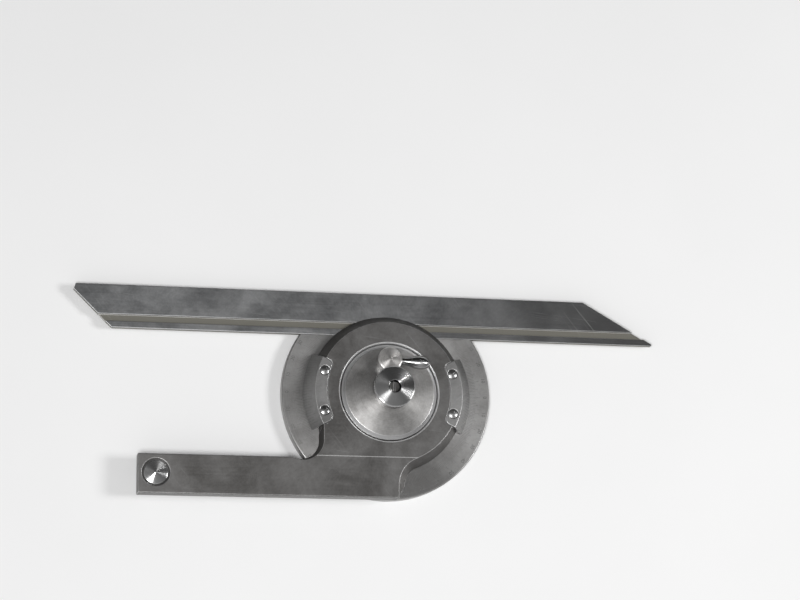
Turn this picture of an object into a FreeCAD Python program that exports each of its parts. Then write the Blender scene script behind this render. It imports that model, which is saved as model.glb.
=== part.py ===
import FreeCAD, Part
import math
import os

import Sketcher

# Universal bevel protractor.  Millimetres and degrees, +Z up.
# The origin is on the turning axis, on the back face of the graduated disc.
# +X runs along the blade towards its 30 degree end, and the stock lies on the -Y side.

DIMENSIONS = {
    # graduated disc, with the rebate that the blade lies in
    "dial_radius": 35.5,
    "dial_thick": 4.0,
    "dial_flat": 33.8,
    "edge_break": 0.3,
    # clearances, and how far a cut starts outside the metal
    "fit": 0.05,
    "loose_fit": 0.1,
    "press_gap": 0.01,
    "beyond": 1.0,
    # blade
    "blade_length": 201,
    "blade_width": 14.5,
    "blade_thick": 2.0,
    "blade_inner": 20.0,
    "blade_shift": 6.1,
    "blade_left_angle": 45,
    "blade_right_angle": 30,
    "blade_left_blunt": 1.9,
    "blade_left_facet": 2.5,
    "blade_right_blunt": 0.55,
    "groove_land": 2.1,
    "groove_width": 2.4,
    "groove_depth": 1.1,
    # stock and round plate
    "plate_gap": 0.1,
    "plate_thick": 4.7,
    "plate_radius": 23.9,
    "bevel_run": 2.7,
    "stock_left": 83.2,
    "stock_right": 3.0,
    "stock_inner": 22.6,
    "stock_working": 35.6,
    "stock_step": 0.1,
    "step_line": 21.95,
    "stock_chamfer": 0.25,
    "fillet_radius": 9.5,
    "foot_angle": 30,
    "pocket_x": 29.2,
    "pocket_y": 16.5,
    "pocket_radius": 7.1,
    "pocket_slope": 12.5,
    "pocket_gap_angle": 2,
    "journal_radius": 13.5,
    "opening_radius": 16.6,
    "opening_chamfer": 0.4,
    "ledge_thick": 2.1,
    "race_inner": 18.0,
    "race_outer": 24.8,
    "race_depth": 1.0,
    "plug_x": 77.3,
    "plug_y": 28.7,
    "plug_radius": 4.1,
    "plug_chamfer": 0.6,
    # verniers
    "vernier_inner": 21.0,
    "vernier_flat": 25.0,
    "vernier_foot": 28.5,
    "vernier_edge": 0.15,
    "vernier_thick": 1.8,
    "vernier_skirt": 25.85,
    "vernier_half_angle": 27,
    "vernier_corner": 1.8,
    "vernier_gap": 0.12,
    "vernier_gap_angle": 0.3,
    "vernier_screw_pitch": 22.75,
    "vernier_screw_angle": 17.3,
    "vernier_screw_head": 1.6,
    "vernier_screw_shank": 1.0,
    "vernier_head_height": 0.85,
    "screw_slot": 0.5,
    "screw_slot_depth": 0.5,
    # hub and cap
    "spigot_radius": 6.0,
    "hub_thick": 2.15,
    "spring_recess": 6.5,
    "spring_depth": 1.0,
    "spring_sheet": 0.35,
    "spring_play": 0.4,
    "cap_radius": 16.2,
    "cap_top_radius": 15.0,
    "cap_thick": 3.3,
    "cap_rim": 2.1,
    # centre stud, washer and knob
    "stud_radius": 2.5,
    "stud_end_radius": 1.7,
    "stud_end": 17.4,
    "stud_end_length": 2.0,
    "stud_shoulder": 0.5,
    "stud_head": 9.0,
    "stud_recess": 1.9,
    "washer_radius": 4.8,
    "washer_thick": 0.8,
    "knob_radius": 6.9,
    "knob_neck": 4.0,
    "knob_rim_low": 14.7,
    "knob_rim_high": 17.9,
    "knob_eye": 2.1,
    "knob_step": 16.0,
    # the knob's turned face is a very shallow cone
    "face_slope": 7,
    # blade clamp
    "clamp_x": -0.5,
    "clamp_y": 10.2,
    "boss_radius": 4.1,
    "boss_height": 4.05,
    "spindle_radius": 1.5,
    "eccentric_radius": 1.1,
    "eccentric_throw": 0.3,
    "eccentric_phase": -75,
    "bush_radius": 2.4,
    "clip_radius": 2.9,
    "clip_groove": 1.1,
    "clip_thick": 0.45,
    "clip_play": 0.2,
    "clip_mouth": 0.9,
    "clip_depth": 0.8,
    "hook_width": 5.6,
    "hook_thick": 1.85,
    "hook_tail": 7.5,
    "hook_travel": 0.6,
    "hook_riser": 18.4,
    "hook_riser_thick": 0.8,
    "hook_arm_thick": 0.9,
    "hook_lip": 1.7,
    "hook_play": 0.08,
    "lever_angle": -3.7,
    "lever_height": 12.05,
    "lever_length": 13.5,
    "lever_neck": 1.2,
    "lever_waist": 5.2,
    "lever_shoulder": 2.05,
    "lever_shoulder_at": 7.8,
    "lever_belly": 2.35,
    "lever_belly_at": 9.9,
    "lever_end": 2.05,
    "lever_end_at": 12.7,
    "lever_tip": 1.3,
    "lever_thread": 1.0,
    "lever_thread_end": 1.85,
    "lever_hole_depth": 2.5,
}


class Size:
    """A length or angle: its number, and the spreadsheet formula that gives it."""

    def __init__(self, number, formula):
        self.number = number
        self.formula = formula

    def __add__(self, other):
        other = as_size(other)
        return Size(self.number + other.number, f"({self.formula} + {other.formula})")

    def __sub__(self, other):
        other = as_size(other)
        return Size(self.number - other.number, f"({self.formula} - {other.formula})")

    def __mul__(self, other):
        other = as_size(other)
        return Size(self.number * other.number, f"({self.formula} * {other.formula})")

    def __truediv__(self, other):
        other = as_size(other)
        return Size(self.number / other.number, f"({self.formula} / {other.formula})")

    def __neg__(self):
        return Size(-self.number, f"(-1 * {self.formula})")


def as_size(value):
    if isinstance(value, Size):
        return value
    return Size(float(value), f"({value})")


def sine(angle):
    angle = as_size(angle)
    return Size(math.sin(math.radians(angle.number)), f"sin({angle.formula})")


def cosine(angle):
    angle = as_size(angle)
    return Size(math.cos(math.radians(angle.number)), f"cos({angle.formula})")


def tangent(angle):
    angle = as_size(angle)
    return Size(math.tan(math.radians(angle.number)), f"tan({angle.formula})")


def arctangent(ratio):
    return Size(math.degrees(math.atan(ratio.number)), f"atan({ratio.formula})")


def root(size):
    return Size(math.sqrt(size.number), f"sqrt({size.formula})")


def polar(radius, angle):
    """The point at this radius and angle about the origin."""
    return radius * cosine(angle), radius * sine(angle)


document = FreeCAD.newDocument("bevel_protractor")


def make_sheet():
    """Fill the spreadsheet, and return a Size for each of its aliases."""
    sheet = document.addObject("Spreadsheet::Sheet", "Dimensions")
    sizes = {}
    for row, (alias, number) in enumerate(DIMENSIONS.items(), start=1):
        sheet.set(f"A{row}", alias)
        sheet.set(f"B{row}", str(number))
        sheet.setAlias(f"B{row}", alias)
        sizes[alias] = Size(float(number), f"Dimensions.{alias}")
    document.recompute()
    return sizes


D = make_sheet()

# Levels above the disc's back face.
DIAL_FACE = D["dial_thick"]
PLATE_BACK = DIAL_FACE + D["plate_gap"]
PLATE_FACE = PLATE_BACK + D["plate_thick"]
STOCK_FACE = PLATE_FACE - D["stock_step"]
LEDGE = PLATE_BACK + D["ledge_thick"]
HUB_TOP = DIAL_FACE + D["hub_thick"]
CAP_BACK = LEDGE + D["fit"]
CAP_FACE = CAP_BACK + D["cap_thick"]
BOSS_FOOT = CAP_FACE + D["fit"]
BOSS_TOP = BOSS_FOOT + D["boss_height"]
WASHER_TOP = CAP_FACE + D["fit"] + D["washer_thick"]
VERNIER_SEAT = PLATE_FACE - D["vernier_thick"]
HEAD_SEAT = PLATE_FACE - D["vernier_head_height"]
REBATE_FLOOR = DIAL_FACE - D["blade_thick"]
CLIP_TOP = CAP_BACK + D["clip_depth"]

BLADE_OUTER = D["blade_inner"] + D["blade_width"]

# Lengths and volumes closer than this count as the same.
SAME = 1e-3

# How far each vernier screw is turned.
SCREW_TURNS = {"right_upper": 15, "right_lower": -40, "left_upper": 5, "left_lower": -10}


# ---------------------------------------------------------------- FreeCAD helpers

def bind(item, prop, size):
    item.setExpression(prop, as_size(size).formula)


def new_body(label):
    body = document.addObject("PartDesign::Body", label)
    body.Label = label
    return body


def new_sketch(body, name, plane, height=None):
    """A sketch on one of the body's origin planes, raised by height."""
    sketch = body.newObject("Sketcher::SketchObject", name)
    origin_plane = next(item for item in body.Origin.OriginFeatures if item.Role == plane)
    sketch.AttachmentSupport = [(origin_plane, "")]
    sketch.MapMode = "FlatFace"
    if height is not None:
        bind(sketch, "AttachmentOffset.Base.z", height)
    return sketch


def hold(sketch, kind, geometry, vertex, size):
    """Fix one coordinate of a vertex, measured from the sketch's origin."""
    size = as_size(size)
    if abs(size.number) < SAME:
        axis = -2 if kind == "DistanceX" else -1
        sketch.addConstraint(Sketcher.Constraint("PointOnObject", geometry, vertex, axis))
        return
    index = sketch.addConstraint(
        Sketcher.Constraint(kind, -1, 1, geometry, vertex, size.number))
    bind(sketch, f"Constraints[{index}]", size)


def hold_point(sketch, geometry, vertex, point):
    hold(sketch, "DistanceX", geometry, vertex, point[0])
    hold(sketch, "DistanceY", geometry, vertex, point[1])


def hold_radius(sketch, geometry, radius):
    index = sketch.addConstraint(Sketcher.Constraint("Radius", geometry, radius.number))
    bind(sketch, f"Constraints[{index}]", radius)


def vector(point):
    return FreeCAD.Vector(as_size(point[0]).number, as_size(point[1]).number, 0)


def arc_between(start, end, radius, turns_left):
    """The shorter arc from start to end that turns left or right."""
    chord = end - start
    side = FreeCAD.Vector(-chord.y, chord.x, 0) / chord.Length
    height = math.sqrt(max(radius ** 2 - (chord.Length / 2) ** 2, 0))
    centre = (start + end) / 2 + side * (height if turns_left else -height)
    first, last = (start, end) if turns_left else (end, start)
    angles = [math.atan2(p.y - centre.y, p.x - centre.x) for p in (first, last)]
    circle = Part.Circle(centre, FreeCAD.Vector(0, 0, 1), radius)
    return Part.ArcOfCircle(circle, angles[0], angles[1])


def outline(sketch, *corners):
    """A closed outline through the corners.

    A corner is (x, y), or (x, y, radius, side) when an arc leads to it, turning to that side.
    """
    edges = []
    for index, corner in enumerate(corners):
        start = vector(corners[index - 1])
        end = vector(corner)
        if len(corner) == 2:
            edges.append((sketch.addGeometry(Part.LineSegment(start, end)), 1, 2))
            continue
        turns_left = corner[3] == "left"
        arc = sketch.addGeometry(arc_between(start, end, corner[2].number, turns_left))
        edges.append((arc, 1, 2) if turns_left else (arc, 2, 1))
    for index, corner in enumerate(corners):
        geometry, _, finish = edges[index]
        following, begin, _ = edges[(index + 1) % len(edges)]
        sketch.addConstraint(
            Sketcher.Constraint("Coincident", geometry, finish, following, begin))
        hold_point(sketch, geometry, finish, corner)
        if len(corner) > 2:
            hold_radius(sketch, geometry, corner[2])


def rectangle(sketch, left, bottom, right, top):
    outline(sketch, (left, bottom), (right, bottom), (right, top), (left, top))


def circle(sketch, centre, radius):
    radius = as_size(radius)
    shape = Part.Circle(vector(centre), FreeCAD.Vector(0, 0, 1), radius.number)
    geometry = sketch.addGeometry(shape)
    hold_point(sketch, geometry, 3, centre)
    hold_radius(sketch, geometry, radius)


def solid_feature(body, kind, name, sketch):
    feature = body.newObject(f"PartDesign::{kind}", name)
    feature.Profile = sketch
    return feature


def pad(body, sketch, length, taper=None):
    feature = solid_feature(body, "Pad", sketch.Name + "_pad", sketch)
    bind(feature, "Length", length)
    if taper is not None:
        bind(feature, "TaperAngle", taper)
    return feature


def pocket(body, sketch, depth=None, upwards=False, taper=None):
    """Cut below the sketch, or above it when upwards, and check that it did cut."""
    document.recompute()
    before = body.Shape.Volume
    feature = solid_feature(body, "Pocket", sketch.Name + "_pocket", sketch)
    feature.Reversed = upwards
    if depth is None:
        feature.Type = "ThroughAll"
    else:
        bind(feature, "Length", depth)
    if taper is not None:
        bind(feature, "TaperAngle", taper)
    document.recompute()
    if body.Shape.Volume > before - SAME:
        raise RuntimeError(f"{feature.Name} cuts nothing")
    return feature


def turned(body, name, *corners):
    """A solid turned about the Z axis from a profile of (radius, height) corners."""
    sketch = new_sketch(body, name, "XZ_Plane")
    outline(sketch, *corners)
    feature = solid_feature(body, "Revolution", name + "_turned", sketch)
    feature.ReferenceAxis = (sketch, ["V_Axis"])
    feature.Angle = 360
    return feature


def turned_cut(body, name, *corners):
    document.recompute()
    before = body.Shape.Volume
    sketch = new_sketch(body, name, "XZ_Plane")
    outline(sketch, *corners)
    feature = solid_feature(body, "Groove", name + "_groove", sketch)
    feature.ReferenceAxis = (sketch, ["V_Axis"])
    feature.Angle = 360
    document.recompute()
    if body.Shape.Volume > before - SAME:
        raise RuntimeError(f"{feature.Name} cuts nothing")
    return feature


def dress(body, kind, name, size, wanted):
    """Chamfer or fillet each edge of the body that wanted(edge) picks."""
    document.recompute()
    base = body.Tip
    edges = [f"Edge{i}" for i, edge in enumerate(base.Shape.Edges, start=1) if wanted(edge)]
    if not edges:
        raise RuntimeError(f"{name} finds no edge")
    feature = body.newObject(f"PartDesign::{kind}", name)
    feature.Base = (base, edges)
    bind(feature, "Size" if kind == "Chamfer" else "Radius", size)
    return feature


def near(value, size):
    return abs(value - as_size(size).number) < SAME


def flat_at(edge, height):
    """True if the whole edge lies at this height."""
    return all(near(vertex.Z, height) for vertex in edge.Vertexes)


def is_circle(edge, radius, height):
    curve = edge.Curve
    return isinstance(curve, Part.Circle) and near(curve.Radius, radius) and flat_at(edge, height)


def place(body, x, y, z=0, turn=0):
    """Move a body into place, turned about Z."""
    body.Placement = FreeCAD.Placement(
        FreeCAD.Vector(0, 0, 0), FreeCAD.Rotation(FreeCAD.Vector(0, 0, 1), as_size(turn).number))
    bind(body, "Placement.Base.x", x)
    bind(body, "Placement.Base.y", y)
    bind(body, "Placement.Base.z", z)


# ---------------------------------------------------------------- stock, plate and verniers

def draw_plate_foot(sketch):
    """The round plate's foot, with the concave fillet that leads to the stock's end."""
    foot = D["plate_radius"] + D["bevel_run"]
    fillet = D["fillet_radius"] - D["bevel_run"]
    centre_x = D["stock_right"] + D["fillet_radius"]
    reach = D["plate_radius"] + D["fillet_radius"]
    centre_y = -root(reach * reach - centre_x * centre_x)
    outline(
        sketch,
        (centre_x - fillet, centre_y),
        (centre_x * foot / reach, centre_y * foot / reach, fillet, "right"),
        (foot, 0, foot, "left"),
        (0, foot, foot, "left"),
        (-foot, 0, foot, "left"),
        (*polar(-foot, D["foot_angle"]), foot, "left"),
        (-foot * cosine(D["foot_angle"]), -D["stock_working"]),
        (D["stock_right"], -D["stock_working"]),
    )


def add_relief_web(body):
    """The web between plate and stock, hollowed by a round-bottomed relief pocket."""
    web = new_sketch(body, "web", "XY_Plane", PLATE_BACK)
    right = -D["pocket_x"] + D["pocket_radius"]
    inside_stock = -D["stock_inner"] - D["beyond"] * 2
    outline(
        web,
        (-D["pocket_x"], inside_stock),
        (-D["plate_radius"] / 2, inside_stock),
        (-D["plate_radius"] / 2, -D["plate_radius"] / 2),
        (right, right * tangent(D["vernier_half_angle"])),
        (right - D["pocket_radius"] / 4, -D["pocket_y"]),
        (-D["pocket_x"], -D["pocket_y"]),
    )
    pad(body, web, D["plate_thick"])

    relief = new_sketch(body, "relief", "XY_Plane", PLATE_FACE)
    left = -D["pocket_x"] - D["pocket_radius"]
    low = -D["pocket_y"] - D["pocket_radius"]
    high = right * tangent(D["vernier_half_angle"] - D["pocket_gap_angle"])
    outline(
        relief,
        (right, high),
        (right, -D["pocket_y"]),
        (-D["pocket_x"], low, D["pocket_radius"], "right"),
        (left, -D["pocket_y"], D["pocket_radius"], "right"),
        (left, high),
    )
    pocket(body, relief, D["plate_thick"], taper=-D["pocket_slope"])


def draw_sectors(sketch, inner, outer, half_angle):
    """Two ring sectors, one on the right and one on the left."""
    for side in (1, -1):
        outline(
            sketch,
            (*polar(inner * side, -half_angle), inner, "right"),
            polar(outer * side, -half_angle),
            (*polar(outer * side, half_angle), outer, "left"),
            polar(inner * side, half_angle),
        )


def cut_vernier_seats(body):
    """Each vernier sits on a ledge, and its skirt hangs outside the plate."""
    gap = D["vernier_gap"]
    half_angle = D["vernier_half_angle"] + D["vernier_gap_angle"]
    beyond = D["vernier_foot"] + D["beyond"] * 2
    seats = new_sketch(body, "vernier_seats", "XY_Plane", PLATE_FACE)
    inner = D["vernier_inner"] - gap
    draw_sectors(seats, inner, beyond, half_angle)
    pocket(body, seats, D["vernier_thick"])
    skirts = new_sketch(body, "vernier_skirts", "XY_Plane", VERNIER_SEAT)
    draw_sectors(skirts, D["vernier_skirt"] - gap, beyond, half_angle)
    pocket(body, skirts, D["plate_thick"] - D["vernier_thick"])

    def inner_corner(edge):
        upright = len(edge.Vertexes) == 2 and near(edge.Length, D["vernier_thick"])
        vertex = edge.Vertexes[0]
        return upright and near(math.hypot(vertex.X, vertex.Y), inner)

    dress(body, "Fillet", "seat_corners", D["vernier_corner"] + gap, inner_corner)


def screw_places():
    """Where each vernier screw stands."""
    pitch = D["vernier_screw_pitch"]
    angle = D["vernier_screw_angle"]
    return {
        "right_upper": polar(pitch, angle),
        "right_lower": polar(pitch, -angle),
        "left_upper": polar(-pitch, -angle),
        "left_lower": polar(-pitch, angle),
    }


def make_stock_plate():
    body = new_body("stock_plate")
    arm = new_sketch(body, "arm", "XY_Plane", PLATE_BACK)
    rectangle(arm, -D["stock_left"], -D["stock_working"], D["stock_right"], -D["stock_inner"])
    pad(body, arm, D["plate_thick"])

    plate = new_sketch(body, "plate", "XY_Plane", PLATE_BACK)
    draw_plate_foot(plate)
    pad(body, plate, D["plate_thick"], taper=-arctangent(D["bevel_run"] / D["plate_thick"]))
    add_relief_web(body)

    step = new_sketch(body, "step", "XY_Plane", PLATE_FACE)
    outside = D["beyond"]
    rectangle(step, -D["stock_left"] - outside, -D["stock_working"] - outside,
              D["plate_radius"], -D["step_line"])
    pocket(body, step, D["stock_step"])

    turned_cut(
        body, "opening",
        (0, PLATE_BACK - outside),
        (D["journal_radius"], PLATE_BACK - outside),
        (D["journal_radius"], LEDGE),
        (D["opening_radius"], LEDGE),
        (D["opening_radius"], PLATE_FACE - D["opening_chamfer"]),
        (D["opening_radius"] + D["opening_chamfer"] * 2, PLATE_FACE + D["opening_chamfer"]),
        (0, PLATE_FACE + D["opening_chamfer"]),
    )
    # An undercut all round, so that the clamp's hook can pass at any angle.
    turned_cut(
        body, "race",
        (D["race_inner"], PLATE_BACK - outside),
        (D["race_outer"], PLATE_BACK - outside),
        (D["race_outer"], PLATE_BACK + D["race_depth"]),
        (D["race_inner"], PLATE_BACK + D["race_depth"]),
    )
    cut_vernier_seats(body)

    holes = new_sketch(body, "screw_holes", "XY_Plane", PLATE_FACE)
    for centre in screw_places().values():
        circle(holes, centre, D["vernier_screw_shank"])
    pocket(body, holes)

    plug_hole = new_sketch(body, "plug_hole", "XY_Plane", PLATE_FACE)
    circle(plug_hole, (-D["plug_x"], -D["plug_y"]), D["plug_radius"])
    pocket(body, plug_hole)
    dress(body, "Chamfer", "plug_rim", D["plug_chamfer"],
          lambda edge: is_circle(edge, D["plug_radius"], STOCK_FACE))

    def stock_rim(edge):
        if not (flat_at(edge, STOCK_FACE) and isinstance(edge.Curve, Part.Line)):
            return False
        middle = edge.CenterOfMass
        long_sides = near(middle.y, -D["stock_working"]) or near(middle.y, -D["stock_inner"])
        return long_sides or near(middle.x, -D["stock_left"])

    dress(body, "Chamfer", "stock_rim", D["stock_chamfer"], stock_rim)


def make_vernier(label, turn):
    """A ledge plate with a long bevel whose foot almost touches the disc."""
    body = new_body(label)
    feature = turned(
        body, label + "_section",
        (D["vernier_inner"], VERNIER_SEAT),
        (D["vernier_skirt"], VERNIER_SEAT),
        (D["vernier_skirt"], PLATE_BACK),
        (D["vernier_foot"], PLATE_BACK),
        (D["vernier_foot"], PLATE_BACK + D["vernier_edge"]),
        (D["vernier_flat"], PLATE_FACE),
        (D["vernier_inner"], PLATE_FACE),
    )
    feature.Midplane = True
    bind(feature, "Angle", D["vernier_half_angle"] * 2)

    def inner_corner(edge):
        vertex = edge.Vertexes[0]
        upright = near(edge.Length, D["vernier_thick"]) and isinstance(edge.Curve, Part.Line)
        return upright and near(math.hypot(vertex.X, vertex.Y), D["vernier_inner"])

    dress(body, "Fillet", label + "_corners", D["vernier_corner"], inner_corner)
    sinks = new_sketch(body, label + "_sinks", "XY_Plane", PLATE_FACE)
    holes = new_sketch(body, label + "_holes", "XY_Plane", PLATE_FACE)
    for side in (1, -1):
        centre = polar(D["vernier_screw_pitch"], D["vernier_screw_angle"] * side)
        circle(sinks, centre, D["vernier_screw_head"] + D["loose_fit"])
        circle(holes, centre, D["vernier_screw_shank"] + D["fit"])
    pocket(body, sinks, D["vernier_head_height"])
    pocket(body, holes)
    place(body, 0, 0, turn=turn)


def cut_slot(body, name, top, depth, radius):
    """A screwdriver slot across a turned face of this radius."""
    slot = new_sketch(body, name, "XY_Plane", top)
    half = D["screw_slot"] / 2
    reach = radius + D["beyond"]
    rectangle(slot, -half, -reach, half, reach)
    pocket(body, slot, depth)


def make_vernier_screw(label, centre, turn):
    """A slotted screw, its head let into the vernier."""
    body = new_body(label)
    head = D["vernier_screw_head"]
    shank = D["vernier_screw_shank"] - D["fit"]
    tip = PLATE_BACK + D["race_depth"] + D["fit"]
    top = PLATE_FACE - D["fit"]
    turned(
        body, label + "_profile",
        (0, tip),
        (shank, tip),
        (shank, HEAD_SEAT),
        (head, HEAD_SEAT),
        (head, top),
        (0, top),
    )
    cut_slot(body, label + "_slot", top, D["screw_slot_depth"], head)
    place(body, *centre, turn=turn)


def make_stock_plug():
    body = new_body("stock_plug")
    radius = D["plug_radius"] - D["press_gap"]
    turned(
        body, "plug_profile",
        (0, PLATE_BACK),
        (radius, PLATE_BACK),
        (radius, STOCK_FACE - D["stock_chamfer"]),
        (radius - D["stock_chamfer"], STOCK_FACE),
        (0, STOCK_FACE),
    )
    place(body, -D["plug_x"], -D["plug_y"])


# ---------------------------------------------------------------- disc, hub and cap

def make_dial_disc():
    body = new_body("dial_disc")
    rim = D["dial_radius"]
    edge = D["edge_break"]
    turned(
        body, "disc_profile",
        (0, 0),
        (rim - edge, 0),
        (rim, edge),
        (rim, DIAL_FACE - edge),
        (rim - edge, DIAL_FACE),
        (0, DIAL_FACE),
    )
    flat = new_sketch(body, "flat", "XY_Plane", DIAL_FACE)
    outside = D["beyond"]
    rectangle(flat, -rim, D["dial_flat"], rim, rim + outside)
    pocket(body, flat)
    rebate = new_sketch(body, "rebate", "XY_Plane", DIAL_FACE)
    rectangle(rebate, -rim - outside, D["blade_inner"] - D["fit"], rim + outside, rim + outside)
    pocket(body, rebate, D["blade_thick"])

    channel = new_sketch(body, "hook_channel", "XY_Plane", DIAL_FACE)
    half = D["hook_width"] / 2 + D["hook_play"]
    tail = D["hook_tail"] - D["hook_travel"]
    rectangle(channel, D["clamp_x"] - half, tail, D["clamp_x"] + half, D["blade_inner"])
    pocket(body, channel, D["hook_thick"] + D["plate_gap"] * 2)

    spigot = new_sketch(body, "spigot_hole", "XY_Plane", DIAL_FACE)
    circle(spigot, (0, 0), D["spigot_radius"] + D["press_gap"])
    pocket(body, spigot, DIAL_FACE - D["stud_recess"])
    recess = new_sketch(body, "head_recess", "XY_Plane")
    half = D["stud_head"] / 2 + D["loose_fit"]
    rectangle(recess, -half, -half, half, half)
    pocket(body, recess, D["stud_recess"], upwards=True)


def make_dial_hub():
    """Spigot pressed into the disc, and above it the journal that the plate turns on."""
    body = new_body("dial_hub")
    turned(
        body, "hub_profile",
        (D["stud_radius"] + D["fit"], D["stud_recess"]),
        (D["spigot_radius"], D["stud_recess"]),
        (D["spigot_radius"], DIAL_FACE),
        (D["journal_radius"] - D["fit"], DIAL_FACE),
        (D["journal_radius"] - D["fit"], HUB_TOP),
        (D["spring_recess"], HUB_TOP),
        (D["spring_recess"], HUB_TOP - D["spring_depth"]),
        (D["stud_radius"] + D["fit"], HUB_TOP - D["spring_depth"]),
    )
    hole = new_sketch(body, "spindle_hole", "XY_Plane", HUB_TOP)
    circle(hole, (D["clamp_x"], D["clamp_y"]), D["spindle_radius"] + D["fit"])
    pocket(body, hole)


def make_hub_cap():
    """The bevelled cap.  The spindle turns it with the disc, and it clamps down on the plate's ledge."""
    body = new_body("hub_cap")
    turned(
        body, "cap_profile",
        (D["stud_radius"] + D["fit"], CAP_BACK),
        (D["cap_radius"], CAP_BACK),
        (D["cap_radius"], CAP_BACK + D["cap_rim"]),
        (D["cap_top_radius"], CAP_FACE),
        (D["stud_radius"] + D["fit"], CAP_FACE),
    )
    clamp = (D["clamp_x"], D["clamp_y"])
    bush = new_sketch(body, "bush_hole", "XY_Plane", CAP_FACE)
    circle(bush, clamp, D["bush_radius"])
    pocket(body, bush)
    clip = new_sketch(body, "clip_recess", "XY_Plane", CAP_BACK)
    circle(clip, clamp, D["clip_radius"] + D["clip_play"])
    pocket(body, clip, D["clip_depth"], upwards=True)


def make_release_spring():
    """A dished washer: its rim stands in the hub's recess and its eye lifts the cap."""
    body = new_body("release_spring")
    eye = D["stud_radius"] + D["spring_play"]
    rim = D["spring_recess"] - D["spring_play"]
    floor = HUB_TOP - D["spring_depth"]
    sheet = D["spring_sheet"]
    turned(
        body, "spring_profile",
        (rim, floor),
        (rim, floor + sheet),
        (eye, CAP_BACK),
        (eye, CAP_BACK - sheet),
    )


def make_centre_stud():
    """Square head flush in the disc's back, shank, and a slotted end inside the knob."""
    body = new_body("centre_stud")
    neck = D["stud_end"] - D["stud_end_length"]
    turned(
        body, "stud_profile",
        (0, 0),
        (D["stud_radius"], 0),
        (D["stud_radius"], neck),
        (D["stud_end_radius"], neck + D["stud_shoulder"]),
        (D["stud_end_radius"], D["stud_end"]),
        (0, D["stud_end"]),
    )
    head = new_sketch(body, "square_head", "XY_Plane")
    half = D["stud_head"] / 2
    rectangle(head, -half, -half, half, half)
    pad(body, head, D["stud_recess"])
    cut_slot(body, "stud_slot", D["stud_end"], D["screw_slot_depth"], D["stud_end_radius"])


# ---------------------------------------------------------------- knob and its washer

def make_thrust_washer():
    body = new_body("thrust_washer")
    ring = new_sketch(body, "ring", "XY_Plane", CAP_FACE + D["fit"])
    circle(ring, (0, 0), D["washer_radius"])
    circle(ring, (0, 0), D["stud_radius"] + D["loose_fit"])
    pad(body, ring, D["washer_thick"])


def make_lock_knob():
    """A short neck under a broad thin head with a shallow coned face."""
    body = new_body("lock_knob")
    bore = D["stud_radius"] + D["fit"]
    rim = D["knob_radius"]
    edge = D["edge_break"]
    eye = D["knob_eye"]
    low = WASHER_TOP + D["fit"]
    face = D["knob_rim_high"]
    face_top = face + (rim - edge - eye) * tangent(D["face_slope"])
    turned(
        body, "knob_profile",
        (bore, low),
        (D["knob_neck"], low),
        (D["knob_neck"], D["knob_rim_low"]),
        (rim, D["knob_rim_low"]),
        (rim, face - edge),
        (rim - edge, face),
        (eye, face_top),
        (eye, D["knob_step"]),
        (bore, D["knob_step"]),
    )


# ---------------------------------------------------------------- blade and its clamp

def make_blade():
    """One end at 45 degrees and the other at 30, with a groove along the lower side."""
    body = new_body("blade")
    half = D["blade_length"] / 2
    left = -half - D["blade_shift"]
    right = half - D["blade_shift"]
    low = D["blade_inner"]
    width = D["blade_width"]
    left_blunt = D["blade_left_blunt"]
    right_blunt = D["blade_right_blunt"]
    left_slant = tangent(D["blade_left_angle"])
    right_slant = tangent(D["blade_right_angle"])
    plan = new_sketch(body, "blade_plan", "XY_Plane", REBATE_FLOOR)
    outline(
        plan,
        (left + width / left_slant, low),
        (right - right_blunt / right_slant, low),
        (right - right_blunt / right_slant, low + right_blunt),
        (right - width / right_slant, BLADE_OUTER),
        (left + D["blade_left_facet"], BLADE_OUTER),
        (left + left_blunt / left_slant, BLADE_OUTER - left_blunt),
    )
    pad(body, plan, D["blade_thick"])
    groove = new_sketch(body, "groove", "XY_Plane", DIAL_FACE)
    floor = low + D["groove_land"]
    rectangle(groove, left, floor, right, floor + D["groove_width"])
    pocket(body, groove, D["groove_depth"])


def make_clamp_hook():
    """A slide under the hub, whose raised arm reaches over the blade's land into its groove."""
    body = new_body("clamp_hook")
    half = D["hook_width"] / 2
    x = D["clamp_x"]
    low = DIAL_FACE - D["hook_thick"] - D["plate_gap"]
    riser = D["hook_riser"]
    arm = D["hook_arm_thick"]
    arm_low = DIAL_FACE + D["fit"]
    lip = D["blade_inner"] + D["groove_land"] + D["fit"]
    lip_low = DIAL_FACE - D["groove_depth"] + D["plate_gap"]
    side = new_sketch(body, "hook_side", "YZ_Plane", x - half)
    outline(
        side,
        (D["hook_tail"], low),
        (riser + D["hook_riser_thick"], low),
        (riser + D["hook_riser_thick"], arm_low),
        (lip, arm_low),
        (lip, lip_low),
        (lip + D["hook_lip"], lip_low),
        (lip + D["hook_lip"], arm_low + arm),
        (riser, arm_low + arm),
        (riser, low + D["hook_thick"]),
        (D["hook_tail"], low + D["hook_thick"]),
    )
    pad(body, side, D["hook_width"])
    slot = new_sketch(body, "pin_slot", "XY_Plane", low + D["hook_thick"])
    across = D["eccentric_radius"] + D["hook_play"]
    along = across + D["eccentric_throw"]
    centre = D["clamp_y"] + D["eccentric_throw"] * sine(D["eccentric_phase"])
    rectangle(slot, x - along, centre - across, x + along, centre + across)
    pocket(body, slot)


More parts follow.
